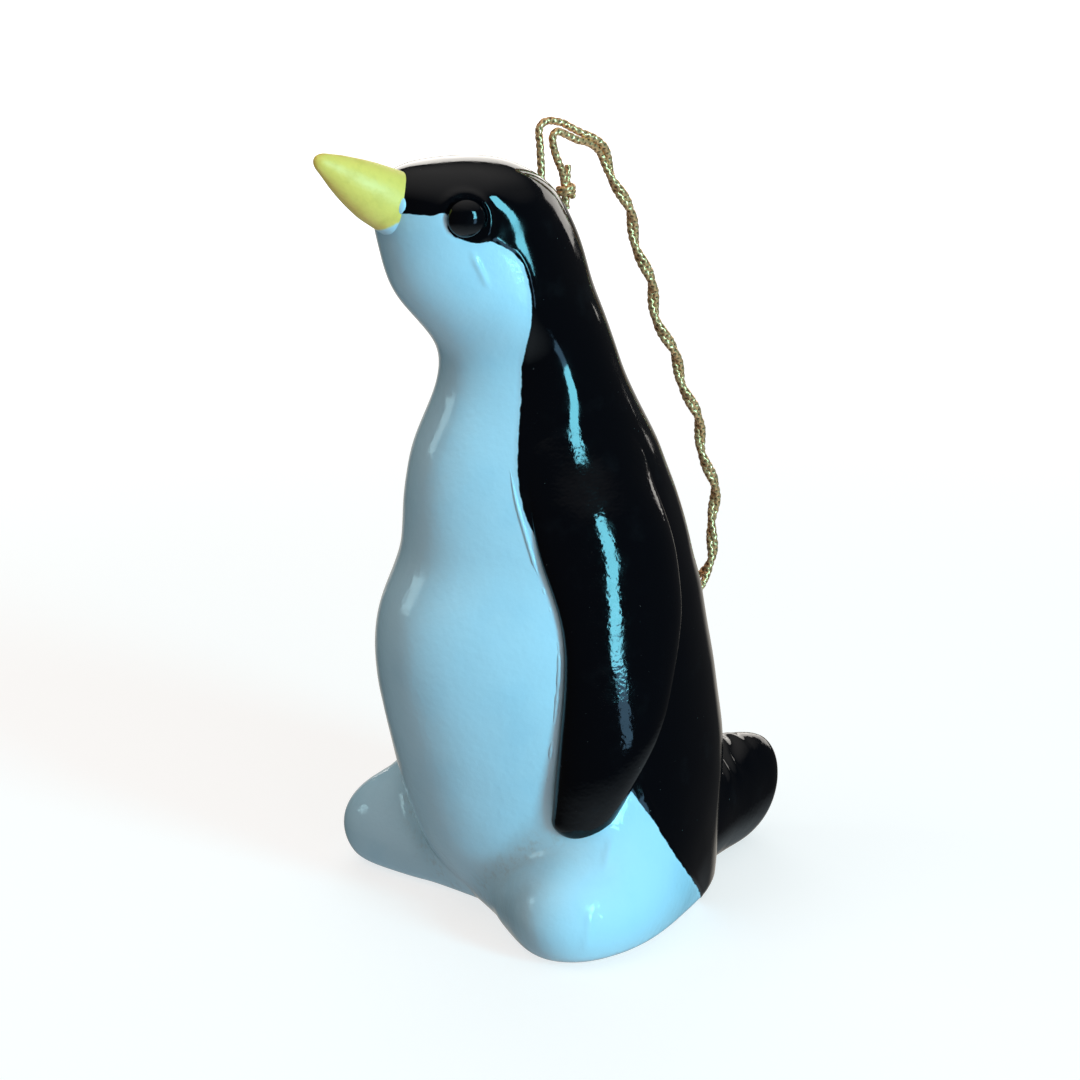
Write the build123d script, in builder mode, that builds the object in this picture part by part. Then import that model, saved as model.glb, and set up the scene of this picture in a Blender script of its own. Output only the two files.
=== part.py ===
"""Penguin ornament: a cast figure with set-on beak, eyes, flippers and tail, and a gold cord loop.

Millimetres. +Z is up, the penguin looks along -Y and its left side is +X. The origin is under
the middle of the figure, on the surface that it stands on.
"""
import os
from math import cos, pi, radians, sin, sqrt, tan

from build123d import *

# Figure
body_height = 89.0
body_width = 38.0
body_depth = 41.0

# Feet: each runs from its toe up into the flank, with an instep between it and the belly
foot_length = 28.0
foot_width = 18.2
foot_height = 20.0
foot_bury = 11.4
foot_forward = 4.7
toe_out_degrees = 21.6
instep_length = 16.2
instep_width = 17.6
instep_height = 9.2
instep_inset = 4.5
instep_forward = 7.4

# Beak
beak_length = 13.3
beak_root_height = 9.8
beak_root_width = 9.0
beak_pitch_degrees = 27.0
beak_seat_depth = 2.4
beak_peg_diameter = 3.6
beak_peg_length = 5.0
beak_peg_grip = 1.0

# Eyes
eye_diameter = 4.2
eye_proud = 1.2
eye_shank_diameter = 1.6
eye_shank_length = 3.4

# Flippers
flipper_length = 50.0
flipper_width = 17.5
flipper_thickness = 1.7
flipper_peg_diameter = 3.0
flipper_peg_length = 4.0

# Tail
tail_length = 12.6
tail_height = 14.0
tail_width = 23.0
tail_bury = 4.7
tail_tenon_width = 6.0
tail_tenon_height = 5.0
tail_tenon_length = 6.0
tail_tenon_grip = 1.5

# Cord
cord_diameter = 0.9
cord_pair_spacing = 1.2
cord_bight_width = 2.6
cord_hole_diameter = 1.5
fold_gap = 0.75
knot_turn_diameter = 0.6
knot_tail_length = 2.2

# Fits
peg_clearance = 0.1
knot_clearance = 0.12

# Places on the body: heights of the body height, the flipper's front edge of the body depth, the
# eye forward of the head's half depth at its height, the foot's waist of the foot height
foot_waist_share = 0.23
beak_mouth_height_share = 0.956
eye_height_share = 0.939
eye_forward_share = 0.51
flipper_tip_height_share = 0.142
flipper_front_share = 0.302

# How closely the knot's turns lie, of their diameter, and how much of a run a cord's bend takes up
knot_pitch_share = 0.85
bend_share = 0.45

# The torso from floor to crown: height of the body height, middle and half depth of the body
# depth, half width of the body width
torso_shares = (
    (0.000, 0.100, 0.370, 0.425),
    (0.035, 0.067, 0.408, 0.448),
    (0.080, 0.034, 0.446, 0.468),
    (0.135, 0.010, 0.476, 0.487),
    (0.200, -0.009, 0.499, 0.500),
    (0.290, -0.047, 0.511, 0.495),
    (0.350, -0.068, 0.510, 0.482),
    (0.390, -0.076, 0.500, 0.470),
    (0.430, -0.073, 0.480, 0.457),
    (0.475, -0.064, 0.444, 0.440),
    (0.515, -0.067, 0.421, 0.421),
    (0.565, -0.083, 0.401, 0.392),
    (0.615, -0.096, 0.372, 0.355),
    (0.670, -0.102, 0.316, 0.317),
    (0.730, -0.112, 0.262, 0.282),
    (0.775, -0.148, 0.263, 0.266),
    (0.830, -0.222, 0.288, 0.259),
    (0.890, -0.268, 0.296, 0.250),
    (0.935, -0.298, 0.281, 0.235),
    (0.965, -0.310, 0.240, 0.197),
    (0.988, -0.324, 0.167, 0.133),
    (1.000, -0.312, 0.078, 0.050),
)

# A foot from the floor up the flank: height of the foot height, size across of its width and along
# of its length, and how far its middle leans in, of its width, and back, of its length
foot_shares = (
    (0.00, 0.81, 0.92, 0.04, 0.04),
    (0.10, 0.96, 0.99, 0.02, 0.01),
    (0.23, 1.00, 1.00, 0.00, 0.00),
    (0.35, 0.99, 0.99, 0.02, 0.02),
    (0.45, 0.93, 0.96, 0.04, 0.06),
    (0.55, 0.90, 0.90, 0.09, 0.12),
    (0.675, 0.87, 0.88, 0.16, 0.18),
    (0.80, 0.85, 0.87, 0.23, 0.24),
    (1.00, 0.80, 0.84, 0.34, 0.27),
)

# An instep's dome: height of the instep height, size of its length and width
instep_shares = (
    (0.00, 0.80),
    (0.18, 0.95),
    (0.38, 1.00),
    (0.58, 0.945),
    (0.76, 0.79),
    (0.89, 0.565),
    (0.965, 0.33),
    (1.00, 0.06),
)

# The beak from its seat to its tip: way of the beak length, size of its root
beak_shares = (
    (0.00, 1.00),
    (0.30, 0.81),
    (0.60, 0.56),
    (0.85, 0.31),
    (0.96, 0.18),
    (1.00, 0.06),
)

# The tail from root to tip: way of its length, middle height and half height of the tail
# height, half width of the tail width
tail_shares = (
    (0.00, 0.44, 0.56, 0.480),
    (0.34, 0.48, 0.52, 0.355),
    (0.68, 0.53, 0.46, 0.220),
    (0.90, 0.56, 0.35, 0.145),
    (0.98, 0.57, 0.18, 0.075),
    (1.00, 0.57, 0.05, 0.020),
)

# A flipper's outline: across the flipper width from its front, up the flipper length from its tip
flipper_edge_shares = (
    (0.07, 0.07),
    (0.07, 0.26),
    (0.10, 0.50),
    (0.02, 0.74),
    (0.06, 0.88),
    (0.40, 1.00),
    (0.75, 0.985),
    (0.90, 0.88),
    (0.99, 0.70),
    (1.00, 0.50),
    (0.82, 0.34),
    (0.53, 0.09),
)
flipper_tip_shares = ((0.38, 0.015), (0.19, 0.00))

# A flipper stands proud by a share of its thickness that fades towards the shoulder
flipper_proud_shares = (
    (0.00, 1.60),
    (0.23, 1.75),
    (0.30, 1.70),
    (0.38, 1.45),
    (0.46, 1.10),
    (0.54, 0.80),
    (0.60, 0.50),
    (0.65, 0.32),
    (0.70, 0.22),
    (1.00, 0.22),
)

# The cord's fold above the crown, and its route through the crown below the fold: x, y and the
# height from the crown
fold_y = -1.9
fold_rise = 2.6
front_hole = (0.0, -2.6, -2.8)
tunnel_corner = (0.0, -2.6, -6.8)
rear_bend = (0.0, 0.8, -6.8)
rear_rise = (0.0, 0.8, -3.4)
rear_lean = (0.25, -0.8, -0.6)
knot_drop = 5.1

# The loop's fall from the fold down the back: y and the height from the crown
loop_fall = (
    (2.6, 1.8),
    (6.6, -1.4),
    (9.6, -7.6),
    (12.3, -14.8),
    (14.6, -22.1),
    (18.6, -29.6),
    (21.4, -37.6),
    (23.6, -45.4),
    (22.7, -51.6),
)
loop_turn_in = (20.9, -54.7)
loop_end = (18.6, -56.5)


def between(table, key, column):
    """Read a column of a table of shares at a key, along straight lines between its rows."""
    for low, high in zip(table, table[1:]):
        if key <= high[0]:
            way = (key - low[0]) / (high[0] - low[0])
            return low[column] + way * (high[column] - low[column])
    return table[-1][column]


def torso_section(height):
    """The middle, half depth and half width of the torso at a height."""
    share = height / body_height
    middle = between(torso_shares, share, 1) * body_depth
    half_depth = between(torso_shares, share, 2) * body_depth
    half_width = between(torso_shares, share, 3) * body_width
    return middle, half_depth, half_width


def torso_ellipses(proud):
    """The torso's ellipses from floor to crown, each grown by the proud distance at its height share."""
    ellipses = []
    for share, middle, half_depth, half_width in torso_shares:
        grown = proud(share)
        with BuildSketch(Plane.XY.offset(share * body_height)) as ellipse:
            with Locations((0, middle * body_depth)):
                Ellipse(half_width * body_width + grown, half_depth * body_depth + grown)
        ellipses.append(ellipse.sketch)
    return ellipses


def corner_radii(points):
    """The bend at each inner point of a route, as wide as a share of its shorter run allows."""
    radii = []
    for before, point, after in zip(points, points[1:], points[2:]):
        run_in = Vector(*point) - Vector(*before)
        run_out = Vector(*after) - Vector(*point)
        turn = radians(run_in.get_angle(run_out))
        radii.append(bend_share * min(run_in.length, run_out.length) / tan(turn / 2))
    return radii


def cord_line(points):
    """A cord's middle line: straight runs joined by tangent arcs."""
    with BuildLine() as route:
        FilletPolyline(*points, radius=corner_radii(points))
    return route.line


def cord_end(points, diameter):
    """A round of this diameter, square to the first run of a route."""
    start = Vector(*points[0])
    with BuildSketch(Plane(origin=start, z_dir=Vector(*points[1]) - start)) as end:
        Circle(diameter / 2)
    return end.sketch


def no_growth(share):
    return 0.0


def flipper_growth(share):
    return flipper_thickness * between(flipper_proud_shares, share, 1)


# Torso, neck and head
with BuildPart() as torso:
    loft(torso_ellipses(no_growth))

# One foot and its instep, the left
foot_x = torso_section(foot_waist_share * foot_height)[2] + foot_width / 2 - foot_bury
with BuildPart() as foot:
    for height_share, across_share, along_share, in_share, back_share in foot_shares:
        middle = (foot_x - in_share * foot_width, back_share * foot_length - foot_forward)
        with BuildSketch(Plane.XY.offset(height_share * foot_height)):
            with Locations(middle):
                Ellipse(
                    foot_width / 2 * across_share,
                    foot_length / 2 * along_share,
                    rotation=toe_out_degrees,
                )
    loft()

with BuildPart() as instep:
    for height_share, size_share in instep_shares:
        with BuildSketch(Plane.XY.offset(height_share * instep_height)):
            with Locations((foot_x - instep_inset, -instep_forward)):
                Ellipse(instep_width / 2 * size_share, instep_length / 2 * size_share)
    loft()

# The casting before its sockets: torso, feet and insteps in one
with BuildPart() as casting:
    add(torso.part)
    for side in (foot.part, instep.part):
        add(side)
        add(mirror(side, about=Plane.YZ, mode=Mode.PRIVATE))

# Beak: a tapering bill with a peg, cut to the front of the head
beak_pitch = radians(beak_pitch_degrees)
beak_way = Vector(0, -cos(beak_pitch), sin(beak_pitch))
beak_mouth_height = beak_mouth_height_share * body_height
head_middle, head_half_depth, head_half_width = torso_section(beak_mouth_height)
beak_mouth = Vector(0, head_middle - head_half_depth, beak_mouth_height)
beak_plane = Plane(origin=beak_mouth - beak_way * beak_seat_depth, x_dir=(1, 0, 0), z_dir=beak_way)


def beak_peg(room, mode):
    """The peg behind the beak, with this much room around it."""
    with BuildSketch(beak_plane.offset(beak_seat_depth + beak_peg_grip)) as round_end:
        Circle(beak_peg_diameter / 2 + room)
    extrude(round_end.sketch, amount=-beak_peg_grip - beak_peg_length - room, mode=mode)


with BuildPart() as beak:
    for way_share, size_share in beak_shares:
        with BuildSketch(beak_plane.offset(way_share * beak_length)):
            Ellipse(beak_root_width / 2 * size_share, beak_root_height / 2 * size_share)
    loft()
    add(casting.part, mode=Mode.SUBTRACT)
    beak_peg(0, Mode.ADD)

# Eyes: a glossy bead on a shank, sunk in the side of the head
eye_height = eye_height_share * body_height
eye_middle, eye_half_depth, eye_half_width = torso_section(eye_height)
eye_side_share = sqrt(1 - eye_forward_share**2)
eye_place = Vector(
    eye_side_share * eye_half_width, eye_middle - eye_forward_share * eye_half_depth, eye_height
)
eye_out = Vector(eye_side_share / eye_half_width, -eye_forward_share / eye_half_depth, 0).normalized()
eye_seat = eye_diameter / 2 - eye_proud
eye_centre = eye_place - eye_out * eye_seat
eye_plane = Plane(origin=eye_centre, x_dir=(0, 0, 1), z_dir=eye_out)


def eye_shank(room, mode):
    """The shank behind the left eye, with this much room around it."""
    with BuildSketch(eye_plane.offset(eye_seat)) as round_end:
        Circle(eye_shank_diameter / 2 + room)
    extrude(round_end.sketch, amount=-eye_shank_length - room, mode=mode)


with BuildPart() as eye_left:
    with Locations(eye_plane):
        Sphere(eye_diameter / 2)
    add(casting.part, mode=Mode.SUBTRACT)
    eye_shank(0, Mode.ADD)

# Flippers: a leaf-shaped slab that lies along the flank, thick at its edge and fading at the shoulder
flipper_tip_height = flipper_tip_height_share * body_height
flipper_front = flipper_front_share * body_depth
flipper_peg_height = flipper_tip_height + flipper_length / 2
flank_middle, flank_half_depth, flank_half_width = torso_section(flipper_peg_height)
flipper_peg_y = flipper_width / 2 - flipper_front
flank_side_share = sqrt(1 - ((flipper_peg_y - flank_middle) / flank_half_depth) ** 2)
flipper_peg_plane = Plane.YZ.offset(flank_side_share * flank_half_width + flipper_thickness / 2)


def flipper_points(shares):
    """Points of the flipper's outline, along the body and up it."""
    return [
        (across * flipper_width - flipper_front, up * flipper_length + flipper_tip_height)
        for across, up in shares
    ]


def flipper_peg(room, mode):
    """The peg behind the left flipper, with this much room around it."""
    with BuildSketch(flipper_peg_plane) as round_end:
        with Locations((flipper_peg_y, flipper_peg_height)):
            Circle(flipper_peg_diameter / 2 + room)
    extrude(round_end.sketch, amount=-flipper_peg_length - room, mode=mode)


with BuildPart() as flipper_left:
    loft(torso_ellipses(flipper_growth))
    with BuildSketch(Plane.YZ):
        with BuildLine():
            edge = flipper_points(flipper_edge_shares)
            Spline(*edge)
            Polyline(edge[-1], *flipper_points(flipper_tip_shares), edge[0])
        make_face()
    extrude(amount=body_width, mode=Mode.INTERSECT)
    add(casting.part, mode=Mode.SUBTRACT)
    flipper_peg(0, Mode.ADD)

# Tail: a blunt nub behind the figure, standing on the floor, with a tenon
tail_mid_height = tail_height / 2
rump_middle, rump_half_depth, rump_half_width = torso_section(tail_mid_height)
rump_y = rump_middle + rump_half_depth
tail_tenon_plane = Plane(
    origin=(0, rump_y + tail_tenon_grip, tail_mid_height), x_dir=(1, 0, 0), z_dir=(0, -1, 0)
)


def tail_tenon(room, mode):
    """The tenon in front of the tail, with this much room around it."""
    with BuildSketch(tail_tenon_plane) as square_end:
        Rectangle(tail_tenon_width + 2 * room, tail_tenon_height + 2 * room)
    extrude(square_end.sketch, amount=tail_tenon_grip + tail_tenon_length + room, mode=mode)


with BuildPart() as tail:
    for way_share, middle_share, half_height_share, half_width_share in tail_shares:
        reach = rump_y - tail_bury + way_share * (tail_bury + tail_length)
        spot = (0, reach, middle_share * tail_height)
        with BuildSketch(Plane(origin=spot, x_dir=(1, 0, 0), z_dir=(0, 1, 0))):
            Ellipse(half_width_share * tail_width, half_height_share * tail_height)
    loft()
    split(bisect_by=Plane.XY, keep=Keep.TOP)
    add(casting.part, mode=Mode.SUBTRACT)
    tail_tenon(0, Mode.ADD)

# Cord: threaded through the crown, knotted behind it, and folded over to a loop down the back
half_pair = cord_pair_spacing / 2
half_bight = cord_bight_width / 2
anchor_points = (
    (-half_pair, fold_y, fold_rise - fold_gap),
    front_hole,
    tunnel_corner,
    rear_bend,
    rear_rise,
    rear_lean,
    (half_pair, fold_y, fold_rise - fold_gap),
)
fall = [(half_pair, fold_y + fold_gap, fold_rise)]
fall += [(half_pair, along, height) for along, height in loop_fall]
fall += [((half_pair + half_bight) / 2, *loop_turn_in)]
fall += [(half_bight, *loop_end)]
loop_points = fall + [(-across, along, height) for across, along, height in reversed(fall)]

anchor_route = [(across, along, body_height + height) for across, along, height in anchor_points]
loop_route = [(across, along, body_height + height) for across, along, height in loop_points]
anchor_line = cord_line(anchor_route)
loop_line = cord_line(loop_route)

with BuildPart() as cord_anchor:
    sweep(cord_end(anchor_route, cord_diameter), path=anchor_line)

with BuildPart() as cord_loop:
    sweep(cord_end(loop_route, cord_diameter), path=loop_line)

# Knot: two tight turns of the cord's own end round the rear strand, with the cut end standing up
knot_ring_radius = (cord_diameter + knot_turn_diameter) / 2 + knot_clearance
knot_y = rear_rise[1]
knot_z = body_height - knot_drop
with BuildPart() as cord_knot:
    for turn_side in (-1, 1):
        turn_z = knot_z + turn_side * knot_pitch_share * knot_turn_diameter / 2
        with Locations((0, knot_y, turn_z)):
            Torus(knot_ring_radius, knot_turn_diameter / 2)
    with BuildSketch(Plane(origin=(0, knot_y + knot_ring_radius, knot_z), z_dir=(0, 0, 1))):
        Circle(knot_turn_diameter / 2)
    extrude(amount=knot_tail_length)

# Room for the eye shanks and flipper pegs of both sides
with BuildPart() as side_sockets:
    eye_shank(peg_clearance, Mode.ADD)
    flipper_peg(peg_clearance, Mode.ADD)
    mirror(about=Plane.YZ)

# The body: the casting with its sockets and the two holes for the cord
with BuildPart() as body:
    add(casting.part)
    beak_peg(peg_clearance, Mode.SUBTRACT)
    tail_tenon(peg_clearance, Mode.SUBTRACT)
    add(side_sockets.part, mode=Mode.SUBTRACT)
    sweep(cord_end(anchor_route, cord_hole_diameter), path=anchor_line, mode=Mode.SUBTRACT)

with BuildPart() as eye_right:
    add(mirror(eye_left.part, about=Plane.YZ, mode=Mode.PRIVATE))

with BuildPart() as flipper_right:
    add(mirror(flipper_left.part, about=Plane.YZ, mode=Mode.PRIVATE))

pieces = {
    "body": body,
    "beak": beak,
    "eye_left": eye_left,
    "eye_right": eye_right,
    "flipper_left": flipper_left,
    "flipper_right": flipper_right,
    "tail": tail,
    "cord_anchor": cord_anchor,
    "cord_knot": cord_knot,
    "cord_loop": cord_loop,
}

os.makedirs("parts", exist_ok=True)
for name, piece in pieces.items():
    piece.part.label = name
    export_step(piece.part, f"parts/{name}.step")

cord_section = pi * cord_diameter**2 / 4
for cord, route, line in ((cord_anchor, anchor_route, anchor_line), (cord_loop, loop_route, loop_line)):
    length = sum(edge.length for edge in line.edges())
    volume_ratio = cord.part.volume / (cord_section * length)
    print(cord.part.label, "length", round(length, 1))
    print(cord.part.label, "volume over section times length", round(volume_ratio, 4))
    print(cord.part.label, "bend radii", [round(radius, 1) for radius in corner_radii(route)])
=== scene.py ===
"""Penguin ornament: the painted, glazed skins of a cast figure and its braided gold cord loop.

Lengths are millimetres, and become the frame's metres where a mesh is made. +Z is up, the penguin
looks along -Y and its left side is +X, as in the frame.
"""

import bpy
import numpy as np
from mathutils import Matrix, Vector


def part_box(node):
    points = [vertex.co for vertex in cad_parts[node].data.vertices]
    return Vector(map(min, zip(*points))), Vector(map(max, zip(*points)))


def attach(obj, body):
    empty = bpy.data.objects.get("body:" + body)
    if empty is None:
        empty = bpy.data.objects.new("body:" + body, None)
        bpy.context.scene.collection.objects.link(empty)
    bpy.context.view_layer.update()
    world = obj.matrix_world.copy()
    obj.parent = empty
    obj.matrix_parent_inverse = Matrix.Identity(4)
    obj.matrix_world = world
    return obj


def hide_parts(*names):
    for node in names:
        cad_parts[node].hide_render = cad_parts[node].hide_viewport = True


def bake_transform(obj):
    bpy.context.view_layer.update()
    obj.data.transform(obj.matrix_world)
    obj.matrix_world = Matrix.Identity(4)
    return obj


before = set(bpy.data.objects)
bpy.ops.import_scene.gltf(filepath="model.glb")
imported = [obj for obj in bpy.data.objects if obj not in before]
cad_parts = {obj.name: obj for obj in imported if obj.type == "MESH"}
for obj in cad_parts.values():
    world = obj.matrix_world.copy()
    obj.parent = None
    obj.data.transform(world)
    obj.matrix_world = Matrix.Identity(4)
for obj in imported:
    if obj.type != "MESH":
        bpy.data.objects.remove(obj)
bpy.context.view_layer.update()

MM = 0.001
LEFT = np.array([1.0, 0.0, 0.0])
UP = np.array([0.0, 0.0, 1.0])
MID_PLANE = np.array([0.0, 1.0, 1.0])
side_names = {1: "left", -1: "right"}

# Grids: rows and columns of points
body_grid = (250, 320)
lower_rows = 92
beak_grid = (90, 96)
eye_grid = (40, 64)
flipper_grid = (170, 120)
tail_grid = (90, 120)
drop_grid = (24, 40)
bead_grid = (420, 14)
cord_grid = (1500, 18)
knot_grid = (240, 14)

# Figure: its crown and sole, the fan of rays that finds its lower part, and how its points settle
crown_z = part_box("body")[1].z / MM
sole_round = 1.4
least_half = 0.05
fan_height = 17.0
fan_reach = 19.0
far_reach = 40.0
ray_steps = 60
ray_share = 0.6
settle_steps = 4
settle_share = 0.8
least_steepness = 0.7
casting_step = 0.03
torso_step = 0.05
torso_steps = 8
tip_stop = 0.015

# Feet
foot_radii = np.array([7.7, 10.5, 7.2])
foot_centre = np.array([16.9, -8.0, 4.6])
toe_out = np.radians(21.6)
instep_radii = np.array([8.5, 7.8, 5.6])
instep_centre = np.array([10.5, -7.4, 3.4])
foot_web = 5.0
foot_crease = 3.0
foot_flow = 12.0
crease_to_flank_y = (-16.0, -7.0)
# Where the darker grey-brown patches in the crease between torso and feet lie: their width, and their fade
# along y
crease_dark_width = 2.0
crease_dark_y = (-6.0, -13.0)

# Beak
beak_root = np.array([0.0, -21.5, 84.3])
beak_pitch = np.radians(30.0)
beak_axis = np.array([0, -np.cos(beak_pitch), np.sin(beak_pitch)])
beak_lift = np.array([0, np.sin(beak_pitch), np.cos(beak_pitch)])
beak_slimness = 0.88
beak_unevenness = 0.05

# The bill's yellow: its edge on the face, from the beak's axis, and on the bill, a line in side view
bill_edge = 3.1
bill_back_y = -18.0
bill_line_y = -23.0
bill_line_z = 83.5
bill_line_slope = 0.72
bill_line_cosine = 0.81

# Eyes
eye_place = np.array([8.2, -18.3, 83.8])
eye_out = np.array([0.885, -0.466, 0.0])
eye_radius = 2.1
eye_proud = 1.0
eye_flatness = 0.62
eye_back = -0.6
socket_radius = 2.9
brow_rise = 0.38
brow_width = 0.45
brow_soft = 2.0
mound_rise = 0.3
mound_width = 3.2
groove_depth = 0.3
groove_width = 0.35

# Flippers
flipper_thickness = 2.1
flipper_sunk = 1.2
flipper_seam = 0.05
flipper_square = 2.1
flipper_squarer = 0.6
squarer_z = (20.0, 34.0)
flipper_sharper = 1.5
sharper_z = (43.0, 56.0)
shoulder_z = (61.0, 44.0)

# Tail
tail_root_y = 14.9
tail_tip_y = 33.0
tail_height = 14.0
tail_width = 23.0
tail_top_power = 0.88
wrinkle_pitch = 2.6
wrinkle_rise = 0.14
wrinkle_y = (29.0, 25.0)
wrinkle_z = (8.0, 12.0)
tail_foot_z = (0.5, 2.0)

# Cord: its strands, their twist about each other, its braid, and where it leaves the crown and folds
strand_diameter = 0.9
half_pair = 0.6
half_bight = 1.3
twist_pitch = 9.4
twist_start = 13.0
twist_rest = 6.0
twist_draw = 0.28
heading_span = 41
braid_pitch = 1.9
braid_core = 0.72
braid_swell = 0.34
riser_length = 8.6

# Knot
knot_y = 0.8
knot_drop = 5.3
knot_turns = 2.3
knot_start = 0.4
knot_share = 0.75
knot_radius = 0.82
knot_height = 1.1
knot_strand = 0.72
stub_lean = 0.25
stub_rise = 2.3

# Paint and clay: the black paint's edge, the raised cap, ripples, cord holes and beads of glaze
paint_step = 0.1
paint_soft = 0.2
paint_ridge = 0.06
ridge_width = 0.25
cap_rise = 0.32
cap_soft = 1.4
cap_reach = 9.0
cap_foot_z = (72.0, 77.0)
cap_top_z = (89.0, 86.5)
ripple_rise = 0.22
ripple_width = 0.36
hole_depth = 0.5
hole_radius = 0.9
hole_z = (70.0, 82.0)
floor_fade = 1.2
bead_radius = 0.26
bead_taper = 5.0
bead_depth = 0.24
bead_swing = 0.55
bead_shiver = 0.2

# The glaze drop at the beak's root: its place, way out and radius, and its height and length for it
drop_place = np.array([2.75, -23.3, 85.1])
drop_out = np.array([0.44, -0.87, 0.22])
drop_radius = 0.75
drop_height = 0.6
drop_length = 1.3

# Ripples in the glaze, each from one place to another
ripples = np.array([
    ((8.0, -17.2, 79.4), (8.5, -16.0, 76.7)),
    ((20.8, -7.4, 13.3), (21.7, -8.8, 11.2)),
    ((24.4, -13.0, 6.4), (24.5, -13.7, 2.6)),
    ((19.7, -2.2, 18.3), (19.9, -0.6, 14.2)),
])

# The bead of glaze in front of a flipper: height and y
bead_line = np.array([
    (18.0, -12.0),
    (24.0, -11.9),
    (30.0, -11.5),
    (35.4, -11.2),
    (43.1, -11.95),
    (48.0, -12.75),
    (52.0, -13.3),
    (55.5, -13.4),
])

# The torso from floor to crown: height, front y, back y, half width, and how much the front's two
# slopes are flattened. The last row closes the crown.
torso_sections = np.array([
    (0.00, -11.10, 19.27, 16.15, 0.000),
    (3.12, -14.00, 19.47, 17.02, 0.020),
    (7.12, -16.90, 19.68, 17.78, 0.045),
    (12.02, -19.10, 19.93, 18.51, 0.060),
    (17.80, -20.80, 20.09, 19.00, 0.066),
    (22.25, -22.00, 19.53, 19.00, 0.066),
    (26.70, -23.06, 18.87, 18.74, 0.066),
    (31.15, -23.72, 18.13, 18.30, 0.066),
    (34.71, -23.64, 17.39, 17.87, 0.066),
    (38.27, -22.68, 16.70, 17.37, 0.066),
    (40.94, -21.30, 15.85, 16.95, 0.066),
    (43.61, -20.25, 15.11, 16.47, 0.066),
    (45.84, -20.00, 14.50, 16.00, 0.066),
    (48.06, -19.92, 13.80, 15.48, 0.066),
    (50.28, -19.85, 13.06, 14.88, 0.066),
    (52.51, -19.62, 12.24, 14.21, 0.066),
    (54.73, -19.19, 11.34, 13.50, 0.066),
    (56.96, -18.45, 10.25, 12.80, 0.066),
    (59.63, -17.15, 8.80, 12.05, 0.066),
    (62.30, -15.90, 7.35, 11.38, 0.066),
    (64.97, -15.35, 6.15, 10.72, 0.066),
    (67.64, -15.95, 5.20, 10.22, 0.066),
    (70.31, -18.00, 4.25, 10.02, 0.060),
    (72.98, -20.40, 3.10, 9.95, 0.050),
    (75.65, -22.10, 2.19, 9.82, 0.037),
    (79.21, -23.30, 1.15, 9.42, 0.020),
    (83.22, -24.10, -0.83, 8.80, 0.004),
    (85.88, -23.80, -2.95, 7.80, 0.000),
    (87.93, -22.10, -6.30, 5.90, 0.000),
    (88.90, -19.40, -9.40, 3.50, 0.000),
    (89.30, -14.40, -14.40, 0.00, 0.000),
])

# The beak along its axis from a root inside the head: way, and half height there
beak_sections = np.array([
    (0.00, 3.70),
    (2.90, 3.45),
    (5.66, 2.98),
    (7.50, 2.50),
    (9.80, 1.72),
    (11.10, 1.24),
    (12.10, 0.82),
    (12.65, 0.00),
])

# The tail from root to tip: way of its length, middle and half height of the tail height, half
# width of the tail width
tail_shares = np.array([
    (0.00, 0.42, 0.50, 0.460),
    (0.17, 0.43, 0.51, 0.400),
    (0.39, 0.455, 0.52, 0.310),
    (0.60, 0.48, 0.51, 0.240),
    (0.78, 0.51, 0.46, 0.180),
    (0.917, 0.56, 0.34, 0.130),
    (0.975, 0.59, 0.20, 0.082),
    (1.00, 0.60, 0.00, 0.000),
])

# A flipper's edges up its length: height, front y, rear y, and the thickness there as a share
flipper_edges = np.array([
    (12.4, -8.00, -7.40, 0.60),
    (13.3, -10.00, -6.30, 1.10),
    (15.4, -11.20, -4.95, 1.50),
    (19.2, -11.30, -3.20, 1.64),
    (25.4, -11.25, 0.30, 1.54),
    (30.0, -11.00, 2.20, 1.38),
    (37.0, -10.70, 4.80, 1.13),
    (42.4, -11.20, 5.20, 1.00),
    (48.0, -12.00, 4.90, 0.95),
    (53.0, -12.05, 4.10, 0.90),
    (57.5, -11.50, 2.80, 0.85),
    (61.5, -10.00, 0.00, 0.80),
])

# The black paint's edge on the figure's side, y and z, from the beak to the floor
paint_edge = np.array([
    (-60.0, 120.0),
    (-45.0, 90.0),
    (-32.0, 84.3),
    (-27.0, 84.3),
    (-23.2, 84.25),
    (-21.4, 84.1),
    (-20.3, 84.35),
    (-19.75, 84.05),
    (-19.85, 82.9),
    (-19.2, 81.85),
    (-18.1, 81.3),
    (-16.6, 81.0),
    (-15.4, 81.15),
    (-14.0, 80.4),
    (-12.5, 79.35),
    (-11.6, 77.7),
    (-11.1, 75.6),
    (-10.8, 73.2),
    (-10.7, 69.7),
    (-10.8, 66.2),
    (-11.1, 62.8),
    (-12.1, 58.5),
    (-12.8, 54.5),
    (-12.5, 49.5),
    (-10.3, 45.0),
    (-7.4, 39.0),
    (-6.5, 26.0),
    (-4.0, 18.6),
    (-2.4, 16.2),
    (-0.2, 12.4),
    (1.7, 9.4),
    (4.7, 5.9),
    (8.5, 2.1),
    (11.0, -1.5),
])

# The raised cap's edge on the side of the head, y and z
cap_edge = np.array([
    (-10.4, 72.0),
    (-10.6, 76.0),
    (-11.5, 80.0),
    (-11.7, 82.0),
    (-12.6, 84.0),
    (-14.2, 85.2),
    (-15.5, 86.0),
])

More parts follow.
